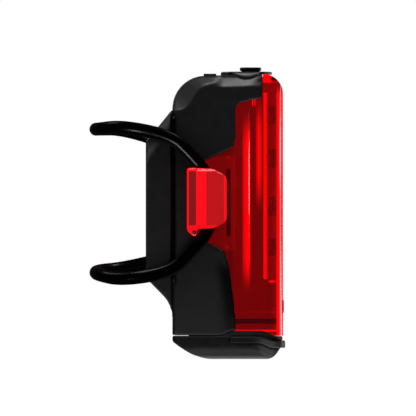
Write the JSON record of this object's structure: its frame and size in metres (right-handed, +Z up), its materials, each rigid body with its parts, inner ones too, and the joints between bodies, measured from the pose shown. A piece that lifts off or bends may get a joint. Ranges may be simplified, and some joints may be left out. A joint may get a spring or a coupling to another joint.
{
  "type": "bicycle rear light",
  "caption": "Upright bar-shaped rear light with a red wrap-round lens, a roof button, a pull-off sealed end cap and an elastic ring strap for a seatpost.",
  "frame": {"origin": "bottom of the cradle groove that lies on the seatpost, on the middle plane, level with the strap hooks", "axes": "+X from the seatpost to the lens, +Z up along the light and the seatpost, +Y across the light"},
  "size_m": [0.0538, 0.0356, 0.0801],
  "materials": {
    "case_black": "satin black moulded plastic",
    "soft_black": "satin black soft-touch rubber",
    "strap_rubber": "smooth black elastic rubber",
    "lens_red": "polished translucent red",
    "hook_red": "polished translucent bright red",
    "board": "solder mask",
    "board_white": "white solder mask",
    "bar_clear": "frosted clear",
    "led": "clear resin",
    "seal": "matt black seal rubber",
    "smoke": "smoked plastic",
    "steel": "bright steel",
    "cell_wrap": "shrink wrap",
    "foam": "closed-cell foam",
    "wire": "wire cover",
    "plug_white": "natural nylon",
    "chip": "chip resin"
  },
  "bodies": {
    "light": {"rear_housing": "case_black", "rubber_jacket": "soft_black", "mount_pad": "soft_black", "lens_shell": "lens_red", "lens_gasket": "seal", "strap_hook_near": "hook_red", "strap_hook_far": "hook_red", "button_boot": "soft_black", "tact_switch": "steel", "indicator_window": "smoke", "status_led": "led", "top_board": "board", "main_board": "board", "board_chips": "chip", "board_header": "chip", "board_screws": "steel", "led_board": "board_white", "leds": "led", "light_bar": "bar_clear", "chassis": "case_black", "battery_cell": "cell_wrap", "battery_foam": "foam", "battery_leads": "wire", "battery_plug": "plug_white", "usb_socket": "steel", "case_screws": "steel", "sensor_window": "lens_red"},
    "button": {"button_cap": "soft_black", "button_plunger": "case_black", "switch_stem": "plug_white"},
    "cap": {"end_cap": "case_black", "cap_plug": "case_black", "cap_seal": "seal", "cap_rim": "seal", "cap_grip": "soft_black"},
    "strap": {"strap_ring": "strap_rubber"}
  },
  "joints": [
    {"name": "button_press", "type": "slide", "parent": "light", "child": "button", "axis": [0, 0, -1], "range_m": [0, 0.0005], "stiffness_N_per_m": 3000},
    {"name": "cap_pull", "type": "slide", "parent": "light", "child": "cap", "axis": [0, 0, -1], "range_m": [0, 0.012]},
    {"name": "strap_unhook", "type": "slide", "parent": "light", "child": "strap", "axis": [1, 0, 0], "range_m": [0, 0.0056]}
  ]
}
